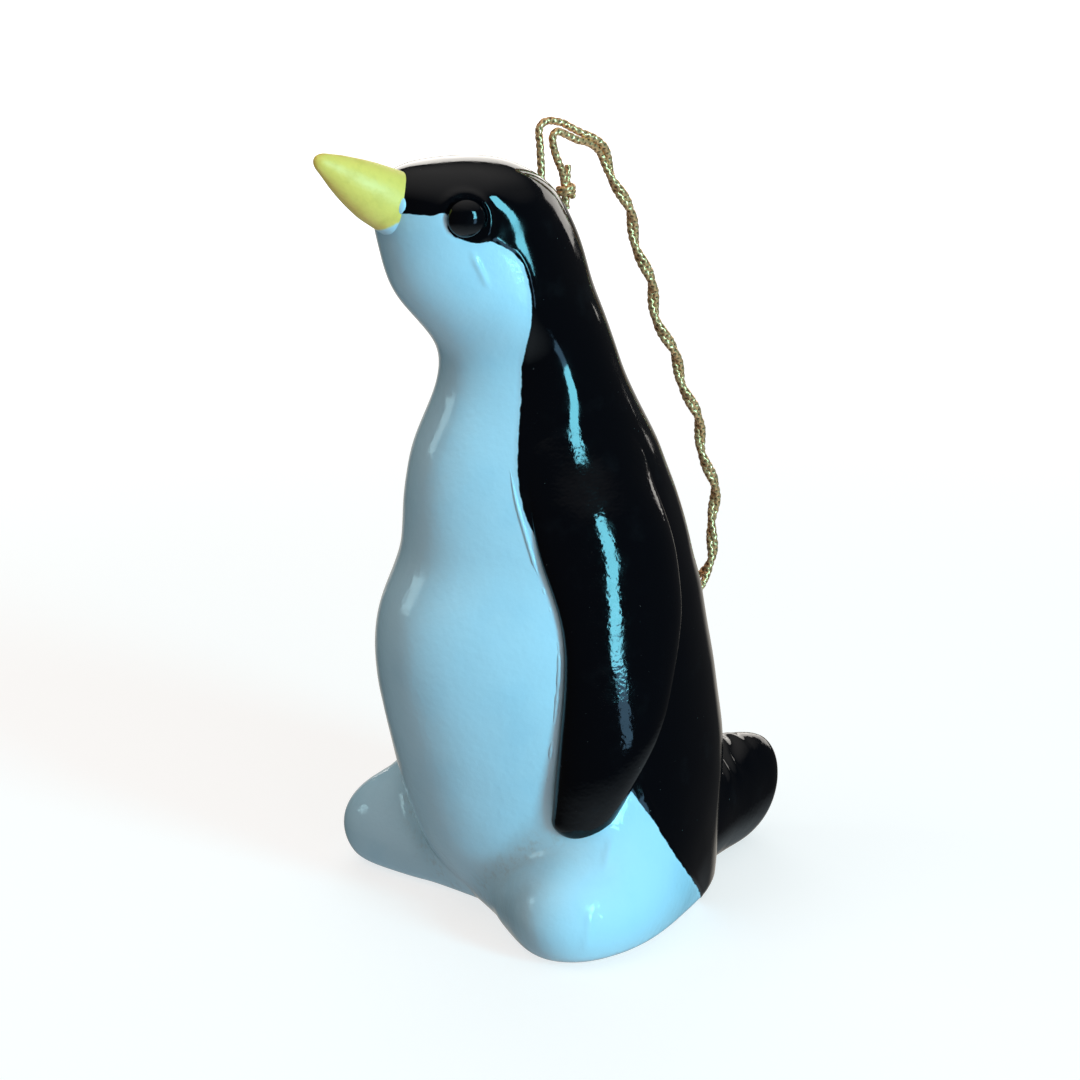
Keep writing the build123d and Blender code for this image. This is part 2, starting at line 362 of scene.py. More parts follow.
# The cord's route, x, y and the height from the crown: up out of the front hole and over the fold,
# down the back, round its bight and up again, and down to the rear hole
front_strand = [
    (0.0, -2.6, -6.8),
    (0.0, -2.6, -2.8),
    (-0.3, -2.55, 0.6),
    (-0.45, -2.75, 2.6),
    (-0.5, -1.7, 3.5),
    (-0.5, 0.4, 3.1),
    (-0.5, 2.6, 2.4),
    (-0.5, 4.8, 1.1),
]
rear_strand = [
    (0.0, 0.8, -6.8),
    (0.0, 0.8, -3.4),
    (0.25, -0.8, -0.6),
    (0.4, -1.5, 1.5),
    (0.5, -0.9, 2.4),
    (0.5, 0.6, 1.7),
    (0.5, 2.6, 0.8),
    (0.5, 4.6, -0.2),
]
loop_fall = [
    (6.6, -1.4),
    (9.6, -7.6),
    (12.3, -14.8),
    (14.6, -22.1),
    (18.6, -29.6),
    (21.4, -37.6),
    (23.6, -45.4),
    (22.7, -51.6),
]
loop_turn_in = (20.9, -54.7)
loop_end = (18.6, -56.5)


# Shaping helpers

def cubic_through(knots, values, at):
    """Natural cubic spline: second slopes m solve the usual three-term system, and between two knots
    the value is the straight line plus the cubic bend that m gives."""
    gap = np.diff(knots)
    count = len(knots)
    system = np.eye(count)
    bend = np.zeros(count)
    inner = np.arange(1, count - 1)
    system[inner, inner - 1] = gap[:-1]
    system[inner, inner] = 2 * (gap[:-1] + gap[1:])
    system[inner, inner + 1] = gap[1:]
    slope = np.diff(values) / gap
    bend[inner] = 6 * np.diff(slope)
    m = np.linalg.solve(system, bend)
    at = np.clip(at, knots[0], knots[-1])
    k = np.clip(np.searchsorted(knots, at, side="right") - 1, 0, count - 2)
    left = (knots[k + 1] - at) / gap[k]
    right = 1 - left
    line = left * values[k] + right * values[k + 1]
    return line + ((left**3 - left) * m[k] + (right**3 - right) * m[k + 1]) * gap[k] ** 2 / 6


def ease(low, high, value):
    """Smooth step from 0 at low to 1 at high: 3t squared minus 2t cubed."""
    t = np.clip((value - low) / (high - low), 0, 1)
    return t * t * (3 - 2 * t)


def bell(value):
    """1 at nought, falling to nothing either side: e to the minus value squared."""
    return np.exp(-(value**2))


def unit(vectors):
    """Vectors over their own lengths."""
    return vectors / np.maximum(np.linalg.norm(vectors, axis=-1, keepdims=True), 1e-9)


def full_turn(count):
    """Angles evenly round a circle."""
    return np.linspace(0, 2 * np.pi, count, endpoint=False)


def run_along(points):
    """The way from the first point to each point of a line: the lengths between neighbours, added up."""
    return np.concatenate([[0], np.cumsum(np.linalg.norm(np.diff(points, axis=0), axis=1))])


def signed_power(wave, power):
    """A sine or cosine raised to a power with its sign kept: squarer below 1, sharper above it."""
    return np.sign(wave) * np.abs(wave) ** power


def root_through(knots, values, at):
    """The root of a cubic through the squares of values, so that a size falls to a round end."""
    return np.sqrt(np.maximum(cubic_through(knots, values**2, at), 0))


def blunt_ways(count):
    """Shares of the way from root to tip, closer towards the tip and ending just short: 1 - t squared."""
    return 1 - np.linspace(1, tip_stop, count) ** 2


def to_side(points, side):
    """Points of the left side, mirrored to the right one where side is -1."""
    return points * np.array([side, 1, 1])


def lumps(points, size, seed):
    """Soft random lumps about this far apart, from -1 to 1: random numbers on a cubic lattice, eased
    between the eight corners of each cell."""
    cells = 24
    lattice = np.random.default_rng(seed).uniform(-1, 1, (cells, cells, cells))
    place = points / size
    cell = np.floor(place).astype(int)
    way = ease(0, 1, place - cell)
    total = 0
    for corner in np.ndindex(2, 2, 2):
        share = np.prod(np.where(np.array(corner), way, 1 - way), axis=-1)
        x, y, z = np.moveaxis((cell + np.array(corner)) % cells, -1, 0)
        total = total + share * lattice[x, y, z]
    return total


def mesh_piece(name, grid, finish, fields):
    """A closed mesh from rows of points: quads join neighbours, columns wrap round, and a middle point
    closes the first and last rows. Faces are turned round where the volume that they enclose, the sum of
    their corners' triple products, is below nought. Fields are numbers that the finish reads."""
    rows, columns = grid.shape[:2]
    index = np.arange(rows * columns).reshape(rows, columns)
    beside = np.roll(index, -1, axis=1)
    quads = np.stack([index[:-1], index[1:], beside[1:], beside[:-1]], -1).reshape(-1, 4)
    pole = np.full(columns, rows * columns)
    caps = np.concatenate([
        np.stack([pole, index[0], beside[0]], -1),
        np.stack([pole + 1, beside[-1], index[-1]], -1),
    ])
    points = np.concatenate([grid.reshape(-1, 3), grid[0].mean(0)[None], grid[-1].mean(0)[None]])
    triangles = np.concatenate([quads[:, :3], quads[:, [0, 2, 3]], caps])
    a, b, c = (points[triangles[:, i]] for i in range(3))
    if np.einsum("ij,ij->", a, np.cross(b, c)) < 0:
        quads = quads[:, ::-1]
        caps = caps[:, ::-1]
    mesh = bpy.data.meshes.new(name)
    mesh.from_pydata((points * MM).tolist(), [], quads.tolist() + caps.tolist())
    for field, values in fields.items():
        whole = np.concatenate([values.ravel(), [values[0].mean(), values[-1].mean()]])
        carried = mesh.attributes.new(field, "FLOAT", "POINT")
        carried.data.foreach_set("value", whole.astype(np.float32))
    mesh.shade_smooth()
    mesh.materials.append(finish)
    piece = bpy.data.objects.new(name, mesh)
    bpy.context.scene.collection.objects.link(piece)
    return piece


# The torso's sections, read at any height from a fine table, with their half depth and width squared
section_z = np.linspace(0, torso_sections[-1, 0], 1800)
given_z, given_front, given_back, given_width, given_flat = torso_sections.T
section_middle = cubic_through(given_z, (given_front + given_back) / 2, section_z)
depth_squares = np.maximum(cubic_through(given_z, ((given_back - given_front) / 2) ** 2, section_z), 0)
width_squares = np.maximum(cubic_through(given_z, given_width**2, section_z), 0)
section_flat = cubic_through(given_z, given_flat, section_z)


def torso_at(z):
    """The torso's middle y, half depth and half width at a height, and its front slopes' flattening."""
    middle = np.interp(z, section_z, section_middle)
    half_depth = np.sqrt(np.interp(z, section_z, depth_squares))
    half_width = np.sqrt(np.interp(z, section_z, width_squares))
    flat = np.interp(z, section_z, section_flat)
    return middle, np.maximum(half_depth, least_half), np.maximum(half_width, least_half), flat


def torso_gap(points):
    """About how far a point is outside the torso: the swell of its height's ellipse that would reach
    it, less 1, times the ellipse's mean radius. In front the ellipse is drawn in on its two slopes, by
    the flattening times the squared sine of twice the angle from the front."""
    middle, half_depth, half_width, flat = torso_at(points[..., 2])
    along = (points[..., 1] - middle) / half_depth
    across = points[..., 0] / half_width
    swell = np.hypot(along, across)
    slope = 4 * (np.minimum(along, 0) * across) ** 2 / np.maximum(swell, 1e-6) ** 4
    return (swell / (1 - flat * slope) - 1) * np.sqrt(half_depth * half_width)


def oval_gap(points, centre, radii, turn):
    """About how far a point is outside the nearer of two mirrored ellipsoids, turned about Z: with k0 the
    length of the offset over the radii, and k1 that over the radii squared, it is k0 (k0 - 1) / k1."""
    offset = points - centre
    offset[..., 0] = np.abs(points[..., 0]) - centre[0]
    across = offset[..., 0] * np.cos(turn) + offset[..., 1] * np.sin(turn)
    along = offset[..., 1] * np.cos(turn) - offset[..., 0] * np.sin(turn)
    local = np.stack([across, along, offset[..., 2]], -1)
    near = np.linalg.norm(local / radii, axis=-1)
    slope = np.linalg.norm(local / radii**2, axis=-1)
    return near * (near - 1) / np.maximum(slope, 1e-6)


def foot_gap(points):
    """About how far a point is outside the nearer foot, a toe and an instep run together."""
    toe = oval_gap(points, foot_centre, foot_radii, toe_out)
    instep = oval_gap(points, instep_centre, instep_radii, 0.0)
    return soft_least(toe, instep, foot_web)


def soft_least(a, b, reach):
    """The lesser of two gaps, rounded over where they differ by less than reach."""
    close = np.maximum(reach - np.abs(a - b), 0) / reach
    return np.minimum(a, b) - close**2 * reach / 4


def casting_gap(points):
    """About how far a point is outside the casting: torso and feet run together, closely creased in
    front and flowing at the flank, and cut flat and round-edged at the sole."""
    flow = foot_crease + (foot_flow - foot_crease) * ease(*crease_to_flank_y, points[..., 1])
    joined = soft_least(torso_gap(points), foot_gap(points), flow)
    return -soft_least(-joined, points[..., 2], sole_round)


def steepest(gap, points, step):
    """The unit way in which a gap grows fastest at each point, and how steeply, from its differences."""
    slopes = [gap(points + step * axis) - gap(points - step * axis) for axis in np.eye(3)]
    slope = np.stack(slopes, -1) / (2 * step)
    return unit(slope), np.linalg.norm(slope, axis=-1)


def even_ring(ring):
    """The points of a closed ring moved along it to even spacing, from its first point."""
    closed = np.concatenate([ring, ring[:1]])
    run = run_along(closed)
    at = np.linspace(0, run[-1], len(ring), endpoint=False)
    return np.stack([np.interp(at, run, closed[:, i]) for i in range(3)], -1)


def paint_gap(points):
    """Signed distance from the black paint's edge in side view, above 0 in the black: the least
    distance to the edge's runs, with the sign from counting runs that a level line crosses."""
    spot = np.stack([points[..., 1], points[..., 2]], -1).reshape(-1, 1, 2)
    ways = np.arange(len(paint_edge), dtype=float)
    fine = np.linspace(0, len(paint_edge) - 1, 6 * len(paint_edge))
    edge = np.stack([cubic_through(ways, paint_edge[:, i], fine) for i in range(2)], -1)
    start, run = edge[:-1], np.diff(edge, axis=0)
    share = np.clip(((spot - start) * run).sum(-1) / (run**2).sum(-1), 0, 1)
    distance = np.linalg.norm(spot - start - share[..., None] * run, axis=-1).min(1)
    over = (start[:, 1] > spot[..., 1]) != (start[:, 1] + run[:, 1] > spot[..., 1])
    rise = np.where(run[:, 1] == 0, 1e-9, run[:, 1])
    crossing_y = start[:, 0] + (spot[..., 1] - start[:, 1]) / rise * run[:, 0]
    crossings = (over & (crossing_y < spot[..., 0])).sum(1)
    return np.where(crossings % 2 == 1, distance, -distance).reshape(points.shape[:-1])


# Finishes

def node(tree, kind, inputs=None, **settings):
    """A shader node of a kind, with its settings, and its inputs from values or other nodes."""
    made = tree.nodes.new("ShaderNode" + kind)
    for key, value in settings.items():
        setattr(made, key, value)
    for key, value in (inputs or {}).items():
        if isinstance(value, bpy.types.NodeSocket):
            tree.links.new(value, made.inputs[key])
        else:
            made.inputs[key].default_value = value
    return made


def start_finish(name):
    """A new material: its node tree, its surface shader and the object's own coordinates."""
    material = bpy.data.materials.new(name)
    material.use_nodes = True
    tree = material.node_tree
    shader = tree.nodes["Principled BSDF"]
    place = node(tree, "TexCoord").outputs["Object"]
    return material, tree, shader, place


def noise(tree, place, size_mm, detail=2.0, roughness=0.5):
    """Noise with features of about this size."""
    inputs = {"Vector": place, "Scale": 1 / (size_mm * MM), "Detail": detail, "Roughness": roughness}
    return node(tree, "TexNoise", inputs).outputs["Fac"]


def carried_by(tree, field):
    """A number that the piece's points carry."""
    return node(tree, "Attribute", attribute_name=field).outputs["Fac"]


def step_between(tree, value, low, high, smooth=True):
    """A value mapped from low..high to 0..1."""
    inputs = {"Value": value, "From Min": low, "From Max": high}
    kind = "SMOOTHSTEP" if smooth else "LINEAR"
    return node(tree, "MapRange", inputs, interpolation_type=kind).outputs["Result"]


def mix_colour(tree, share, first, second):
    """Two colours mixed by a share."""
    return node(tree, "Mix", {0: share, 6: first, 7: second}, data_type="RGBA").outputs[2]


def mix_value(tree, share, first, second):
    """Two numbers mixed by a share."""
    return node(tree, "Mix", {0: share, 2: first, 3: second}).outputs[0]


def plus(tree, first, second):
    """Two numbers added."""
    return node(tree, "Math", {0: first, 1: second}, operation="ADD").outputs[0]


def times(tree, first, second):
    """Two numbers multiplied."""
    return node(tree, "Math", {0: first, 1: second}, operation="MULTIPLY").outputs[0]


def wobble(tree, pattern, width):
    """A pattern of about one half, as a number either side of nought."""
    return times(tree, plus(tree, pattern, -0.5), width)


def emboss(tree, shader, height, depth_mm):
    """Fine relief on a shader from a height, this deep."""
    bump = node(tree, "Bump", {"Height": height, "Strength": 1.0, "Distance": depth_mm * MM})
    tree.links.new(bump.outputs["Normal"], shader.inputs["Normal"])


white_colour = (0.50, 0.74, 0.86, 1)
white_thin_colour = (0.46, 0.71, 0.84, 1)
# Grey-brown of the darker patches in the crease of the feet
crease_dark_colour = (0.36, 0.34, 0.30, 1)
black_colour = (0.0012, 0.0014, 0.0024, 1)
black_thin_colour = (0.0035, 0.0038, 0.0050, 1)
dust_colour = (0.25, 0.25, 0.24, 1)
yellow_colour = (0.98, 0.71, 0.145, 1)
yellow_thin_colour = (0.89, 0.64, 0.12, 1)
# Dark brown in the braid's gaps: painted shade between the threads
thread_gap_shade_colour = (0.20, 0.100, 0.045, 1)
thread_crown_colour = (1.0, 0.54, 0.25, 1)
gloss_level = 0.35


def black_layers(tree, place):
    """Black gloss: colour with a little thin paint and dust, roughness, and the height of its lumps."""
    thin = step_between(tree, noise(tree, place, 4.0, 4.0), 0.55, 0.8)
    dust = step_between(tree, noise(tree, place, 0.4, 1.0), 0.79, 0.84)
    colour = mix_colour(tree, thin, black_colour, black_thin_colour)
    colour = mix_colour(tree, times(tree, dust, 0.35), colour, dust_colour)
    dulled = step_between(tree, noise(tree, place, 2.2, 3.0), 0.3, 0.9)
    roughness = plus(tree, times(tree, dulled, 0.10), 0.05)
    height = plus(tree, noise(tree, place, 1.6, 2.0), times(tree, noise(tree, place, 0.4), 0.35))
    return colour, roughness, height


def body_finish():
    """White and black gloss paint over the casting, parted by the edge that the points carry, with the
    bill's yellow at the face and darker grey-brown patches in the crease of the feet."""
    material, tree, shader, place = start_finish("body_paint")
    brushed = wobble(tree, noise(tree, place, 1.4, 3.0), 0.35)
    black = step_between(tree, plus(tree, carried_by(tree, "black_gap"), brushed), -0.06, 0.06)
    bill = step_between(tree, plus(tree, carried_by(tree, "bill_gap"), brushed), 0.35, -0.35)
    patches = step_between(tree, noise(tree, place, 6.0, 5.0), 0.45, 0.75)
    white = mix_colour(tree, patches, white_colour, white_thin_colour)
    grain = step_between(tree, noise(tree, place, 0.9, 4.0, 0.6), 0.45, 0.75)
    # Darker grey-brown patches in the crease between torso and feet, broken up by grain
    crease_darkening = times(tree, carried_by(tree, "crease"), grain)
    white = mix_colour(tree, times(tree, crease_darkening, 0.35), white, crease_dark_colour)
    white = mix_colour(tree, bill, white, yellow_colour)
    black_paint, black_roughness, black_height = black_layers(tree, place)
    tree.links.new(mix_colour(tree, black, white, black_paint), shader.inputs["Base Color"])
    tree.links.new(mix_value(tree, black, 0.07, black_roughness), shader.inputs["Roughness"])
    peel = plus(tree, noise(tree, place, 0.8, 3.0), times(tree, noise(tree, place, 2.5, 2.0), 1.2))
    emboss(tree, shader, mix_value(tree, black, peel, times(tree, black_height, 0.18)), 0.04)
    shader.inputs["Specular IOR Level"].default_value = gloss_level
    return material


def black_finish():
    """Black gloss paint all over."""
    material, tree, shader, place = start_finish("black_gloss")
    colour, roughness, height = black_layers(tree, place)
    tree.links.new(colour, shader.inputs["Base Color"])
    tree.links.new(roughness, shader.inputs["Roughness"])
    emboss(tree, shader, height, 0.03)
    shader.inputs["Specular IOR Level"].default_value = gloss_level
    return material


def bill_finish():
    """Pale yellow paint with thinner patches, and the face's white below the line in the points."""
    material, tree, shader, place = start_finish("bill_paint")
    mottle = noise(tree, place, 1.6, 5.0, 0.6)
    thin = step_between(tree, mottle, 0.42, 0.72)
    yellow = mix_colour(tree, thin, yellow_colour, yellow_thin_colour)
    edge = plus(tree, carried_by(tree, "face_gap"), wobble(tree, mottle, 0.8))
    colour = mix_colour(tree, step_between(tree, edge, -0.25, 0.25), white_colour, yellow)
    tree.links.new(colour, shader.inputs["Base Color"])
    tree.links.new(mix_value(tree, thin, 0.42, 0.55), shader.inputs["Roughness"])
    emboss(tree, shader, plus(tree, mottle, times(tree, noise(tree, place, 0.4), 0.4)), 0.04)
    return material


def cord_finish():
    """Metallic thread: bright gold on the crowns of the braid, and in its gaps a dark brown that is
    painted shade.
    """
    material, tree, shader, place = start_finish("gold_thread")
    glint = times(tree, noise(tree, place, 0.22, 2.0), 0.6)
    # Gold on the braid's crowns, and painted shade of dark brown in its gaps
    share = step_between(tree, plus(tree, carried_by(tree, "braid"), glint), 0.45, 1.05)
    colour = mix_colour(tree, share, thread_gap_shade_colour, thread_crown_colour)
    tree.links.new(colour, shader.inputs["Base Color"])
    tree.links.new(mix_value(tree, share, 0.6, 0.3), shader.inputs["Roughness"])
    shader.inputs["Metallic"].default_value = 0.65
    return material


# Pieces of the figure

def uneven(points):
    """The casting's own unevenness: broad lumps and smaller ones."""
    return 0.10 * lumps(points, 9.0, seed=3) + 0.045 * lumps(points, 3.5, seed=5)


def body_rings():
    """The casting's rings of points. Above the fan height they are the torso's ellipses, spaced along the
    side's profile. Below it rays fan out and down from the torso's axis and stop where the casting's gap
    is nought. Each ring is spaced evenly, and settled by steps of its gap over the gap's steepness."""
    rows, columns = body_grid
    turn = full_turn(columns)
    round_x, round_y = np.sin(turn), np.cos(turn)
    upper = section_z >= fan_height
    profile = np.stack([np.sqrt(depth_squares[upper]), section_z[upper]], -1)[::-1]
    run = run_along(profile)
    upper_run = np.linspace(0, run[-1], rows - lower_rows + 1)[1:]
    upper_z = np.interp(upper_run, run, profile[:, 1])[:, None]
    middle, half_depth, half_width, flat = torso_at(upper_z)
    drawn_in = 1 - flat * 4 * (np.minimum(round_y, 0) * round_x) ** 2
    top_x = half_width * round_x * drawn_in
    top_y = middle + half_depth * round_y * drawn_in
    top = np.stack([top_x, top_y, np.broadcast_to(upper_z, top_x.shape)], -1)

    origin = np.array([0, float(torso_at(fan_height)[0]), fan_height])
    side_rows = lower_rows * 2 // 3
    side_tilt = np.arctan2(np.linspace(0, fan_height, side_rows + 1)[1:], fan_reach)
    sole_reach = np.linspace(fan_reach, 0, lower_rows - side_rows + 1)[1:-1]
    sole_tilt = np.pi / 2 - np.arctan2(sole_reach, fan_height)
    tilt = np.concatenate([side_tilt, sole_tilt])[:, None]
    level = np.broadcast_to(np.cos(tilt), (len(tilt), columns))
    ray = np.stack([level * round_x, level * round_y, np.broadcast_to(-np.sin(tilt), level.shape)], -1)
    reach = np.full(level.shape, far_reach)
    for _ in range(ray_steps):
        reach = reach - ray_share * casting_gap(origin + reach[..., None] * ray)
    points = np.concatenate([top, origin + reach[..., None] * ray])

    points = np.stack([even_ring(ring) for ring in points])
    for _ in range(settle_steps):
        normal, steepness = steepest(casting_gap, points, casting_step)
        back = settle_share * casting_gap(points) / np.maximum(steepness, least_steepness)
        points = points - back[..., None] * normal
    return points


def body_relief(points, black_gap):
    """How far the skin stands off the casting: the black paint's step and the ridge at its edge, a
    brow, a mound and a groove round each eye, the cap's step, ripples in the glaze on the left and a
    dip at each cord hole, each a bell or an eased step of the gap to it, and the clay's unevenness. It
    fades out at the floor."""
    x, y, z = np.moveaxis(points, -1, 0)
    folded = np.stack([np.abs(x), y, z], -1)
    eye_gap = np.linalg.norm(folded - eye_place, axis=-1)
    brow = ease(-brow_soft, brow_soft, (y - eye_place[1]) + (z - eye_place[2]))
    rise = paint_step * ease(-paint_soft, paint_soft, black_gap)
    rise += paint_ridge * bell((black_gap - ridge_width) / ridge_width)
    rise += brow_rise * brow * bell((eye_gap - socket_radius) / brow_width)
    rise += mound_rise * bell(eye_gap / mound_width)
    rise -= groove_depth * bell((eye_gap - eye_radius) / groove_width)
    behind = y - np.interp(z, cap_edge[:, 1], cap_edge[:, 0])
    cap = ease(-cap_soft, cap_soft, behind) * ease(cap_reach, cap_soft, behind)
    rise += cap_rise * cap * ease(*cap_foot_z, z) * ease(*cap_top_z, z)
    for start, end in ripples:
        run = end - start
        share = np.clip((folded - start) @ run / (run @ run), 0, 1)
        ripple_gap = np.linalg.norm(folded - start - share[..., None] * run, axis=-1)
        rise += ripple_rise * bell(ripple_gap / ripple_width) * (x > 0)
    for hole_x, hole_y, _ in (front_strand[1], rear_strand[1]):
        hole_gap = np.hypot(x - hole_x, y - hole_y) / hole_radius
        rise -= hole_depth * bell(hole_gap**2) * ease(*hole_z, z)
    return (rise + uneven(points)) * ease(0.0, floor_fade, z)


def body_piece(finish):
    """The casting's skin: its rings, raised along their normals by the relief. Its points carry the gap
    to the black paint's edge, the gap to the bill's yellow round the beak's axis, and a bell of the
    difference between the gaps to torso and feet, for the darker grey-brown patches in their crease."""
    points = body_rings()
    normal = steepest(casting_gap, points, casting_step)[0]
    black_gap = paint_gap(points)
    from_root = points - beak_root
    from_axis = from_root - (from_root @ beak_axis)[..., None] * beak_axis
    bill_gap = np.linalg.norm(from_axis, axis=-1) - bill_edge
    bill_gap = np.where(points[..., 1] < bill_back_y, bill_gap, 9.0)
    crease = bell((torso_gap(points) - foot_gap(points)) / crease_dark_width)
    crease = crease * ease(*crease_dark_y, points[..., 1])
    fields = {"black_gap": black_gap, "bill_gap": bill_gap, "crease": crease}
    skin = points + body_relief(points, black_gap)[..., None] * normal
    return mesh_piece("body_skin", skin, finish, fields)


def beak_piece(finish):
    """The bill: ellipses along a rising axis, their size squared eased to nothing at a blunt tip. Its
    points carry their gap to the sloping line in side view where the yellow starts."""
    rows, columns = beak_grid
    way = beak_sections[-1, 0] * blunt_ways(rows)
    size = root_through(beak_sections[:, 0], beak_sections[:, 1], way)[:, None]
    turn = full_turn(columns)
    points = beak_root + way[:, None, None] * beak_axis
    points = points + (size * np.sin(turn) * beak_slimness)[..., None] * LEFT
    points = points + (size * np.cos(turn))[..., None] * beak_lift
    points = points + (beak_unevenness * lumps(points, 3.0, seed=11) * size)[..., None] * beak_lift
    over_line = points[..., 2] - bill_line_z - bill_line_slope * (points[..., 1] - bill_line_y)
    fields = {"face_gap": over_line * bill_line_cosine}
    return mesh_piece("beak_skin", points, finish, fields)


def eye_piece(side, finish):
    """A bead: a sphere flattened along its way out, sunk in its socket."""
    rows, columns = eye_grid
    rise = np.linspace(0.999, eye_back, rows)[:, None]
    turn = full_turn(columns)
    out = to_side(eye_out, side)
    along = np.array([-out[1], out[0], 0])
    centre = to_side(eye_place, side) - (eye_flatness * eye_radius - eye_proud) * out
    ring = np.sqrt(1 - rise**2) * eye_radius
    points = centre + (rise * eye_flatness * eye_radius * np.ones_like(turn))[..., None] * out
    points = points + (ring * np.cos(turn))[..., None] * along + (ring * np.sin(turn))[..., None] * UP
    return mesh_piece(f"eye_{side_names[side]}_bead", points, finish, {})


def on_torso(y, z):
    """Points of the torso's left skin at these y and heights, with their unit normals: its ellipse, then
    settled along X by steps of the torso's gap."""
    middle, half_depth, half_width, _ = torso_at(z)
    along = np.clip((y - middle) / half_depth, -0.98, 0.98)
    points = np.stack([half_width * np.sqrt(1 - along**2), y, z], -1)
    for _ in range(torso_steps):
        points[..., 0] -= settle_share * torso_gap(points)
    return points, steepest(torso_gap, points, torso_step)[0]


def plain_white(shape):
    """Fields of a piece that is white all over: far from black and yellow, with no crease."""
    return {"black_gap": np.full(shape, -9.0), "bill_gap": np.full(shape, 9.0), "crease": np.zeros(shape)}


def flipper_piece(side, finish):
    """A flipper: rounded slab sections up its length, laid on the torso. At each height a section runs
    from the front edge to the rear one as an oval of sines and cosines to a power, raised along the
    torso's normal, and thinned out up the shoulder."""
    rows, columns = flipper_grid
    edge_z = flipper_edges[:, 0]
    share = (1 - np.cos(np.linspace(0.02, 0.98, rows) * np.pi)) / 2
    z = (edge_z[0] + share * (edge_z[-1] - edge_z[0]))[:, None]
    front, rear, thick = (cubic_through(edge_z, column, z) for column in flipper_edges[:, 1:].T)
    thick = flipper_thickness * thick * ease(*shoulder_z, z)
    turn = full_turn(columns)
    square = flipper_square + flipper_squarer * ease(*squarer_z, z) - flipper_sharper * ease(*sharper_z, z)
    power = 2 / square
    across = signed_power(np.cos(turn), power)
    raised = signed_power(np.sin(turn), power)
    y = (front + rear) / 2 + (rear - front) / 2 * across
    z = np.broadcast_to(z, y.shape)
    points, normal = on_torso(y, z)
    above = thick * raised - flipper_seam * (1 - raised)
    lift = np.where(raised > 0, above, flipper_sunk * raised - flipper_seam)
    skin = paint_step + uneven(points) + 0.05 * ease(60.8, 57, z) - 0.03
    points = to_side(points + (lift + skin)[..., None] * normal, side)
    return mesh_piece(f"flipper_{side_names[side]}_skin", points, finish, {})


def tail_piece(finish):
    """The tail: ellipses back along Y from inside the rump to a round tip, pressed flat at the floor. A
    sine along Y, shifted by lumps, wrinkles its top near the root, and small lumps lift it all over."""
    rows, columns = tail_grid
    way = blunt_ways(rows)
    share = tail_shares[:, 0]
    middle = cubic_through(share, tail_shares[:, 1], way)[:, None]
    half_height = root_through(share, tail_shares[:, 2], way)[:, None]
    half_width = root_through(share, tail_shares[:, 3], way)[:, None]
    turn = full_turn(columns)
    power = np.where(np.cos(turn) > 0, tail_top_power, 1.0)
    x = half_width * tail_width * signed_power(np.sin(turn), power)
    y = np.broadcast_to((tail_root_y + way * (tail_tip_y - tail_root_y))[:, None], x.shape)
    z = (middle + half_height * signed_power(np.cos(turn), power)) * tail_height
    z = np.maximum(-soft_least(-z, np.zeros_like(z), sole_round) - sole_round / 4, 0)
    points = np.stack([x, y, z], -1)
    wave = np.sin(2 * np.pi * (y / wrinkle_pitch + 0.5 * lumps(points, 4.0, seed=33)))
    wave = wave * ease(*wrinkle_y, y) * ease(*wrinkle_z, z)
    lift = wrinkle_rise * (wave + lumps(points, 2.4, seed=31)) * ease(*tail_foot_z, z)
    return mesh_piece("tail_skin", points + lift[..., None] * UP, finish, {})


def drop_piece(finish):
    """The glaze drop: a sphere pressed flat along its way out and drawn long across it, half sunk in the
    paint."""
    rows, columns = drop_grid
    out = unit(drop_out)
    across = unit(np.cross(out, UP))
    along = np.cross(out, across)
    tilt = np.linspace(0.02, np.pi - 0.02, rows)[:, None]
    turn = full_turn(columns)
    points = drop_place + (drop_height * drop_radius * np.cos(tilt) * np.ones_like(turn))[..., None] * out
    points = points + (drop_radius * np.sin(tilt) * np.cos(turn))[..., None] * across
    points = points + (drop_length * drop_radius * np.sin(tilt) * np.sin(turn))[..., None] * along
    return mesh_piece("glaze_drop", points, finish, plain_white(points.shape[:2]))


def bead_piece(side, finish):
    """The bead of glaze in front of a flipper: a thin tube along the torso's skin, which sinks into it
    and comes out again by soft lumps, so that it shows in broken runs."""
    rows, columns = bead_grid
    z = np.linspace(bead_line[0, 0], bead_line[-1, 0], rows)
    path, normal = on_torso(cubic_through(bead_line[:, 0], bead_line[:, 1], z), z)
    sunk = bead_depth + bead_swing * lumps(path, 3.2, seed=41) + bead_shiver * lumps(path, 1.1, seed=43)
    path = path + (uneven(path) - np.maximum(sunk, 0.02))[:, None] * normal
    beside = np.cross(unit(np.gradient(path, axis=0)), normal)
    turn = full_turn(columns)[:, None]
    ring = np.cos(turn) * normal[:, None] + np.sin(turn) * beside[:, None]
    end_gap = np.minimum(z - z[0], z[-1] - z)
    radius = bead_radius * np.sqrt(ease(-0.2, bead_taper, end_gap))
    points = to_side(path[:, None] + radius[:, None, None] * ring, side)
    fields = plain_white(points.shape[:2])
    return mesh_piece(f"glaze_bead_{side_names[side]}", points, finish, fields)


# Pieces of the cord

def spline_points(route, count):
    """Points evenly along the smooth curve that has the route as its control points, in millimetres."""
    curve = bpy.data.curves.new("route", "CURVE")
    curve.dimensions = "3D"
    spline = curve.splines.new("NURBS")
    spline.points.add(len(route) - 1)
    controls = np.concatenate([np.array(route) * MM, np.ones((len(route), 1))], axis=1)
    spline.points.foreach_set("co", controls.ravel())
    spline.order_u = 3
    spline.use_endpoint_u = True
    spline.resolution_u = 24
    holder = bpy.data.objects.new("route", curve)
    line = bpy.data.meshes.new_from_object(holder)
    points = np.empty(len(line.vertices) * 3)
    line.vertices.foreach_get("co", points)
    points = points.reshape(-1, 3) / MM
    bpy.data.meshes.remove(line)
    bpy.data.objects.remove(holder)
    bpy.data.curves.remove(curve)
    run = run_along(points)
    at = np.linspace(0, run[-1], count)
    return np.stack([np.interp(at, run, points[:, i]) for i in range(3)], -1)


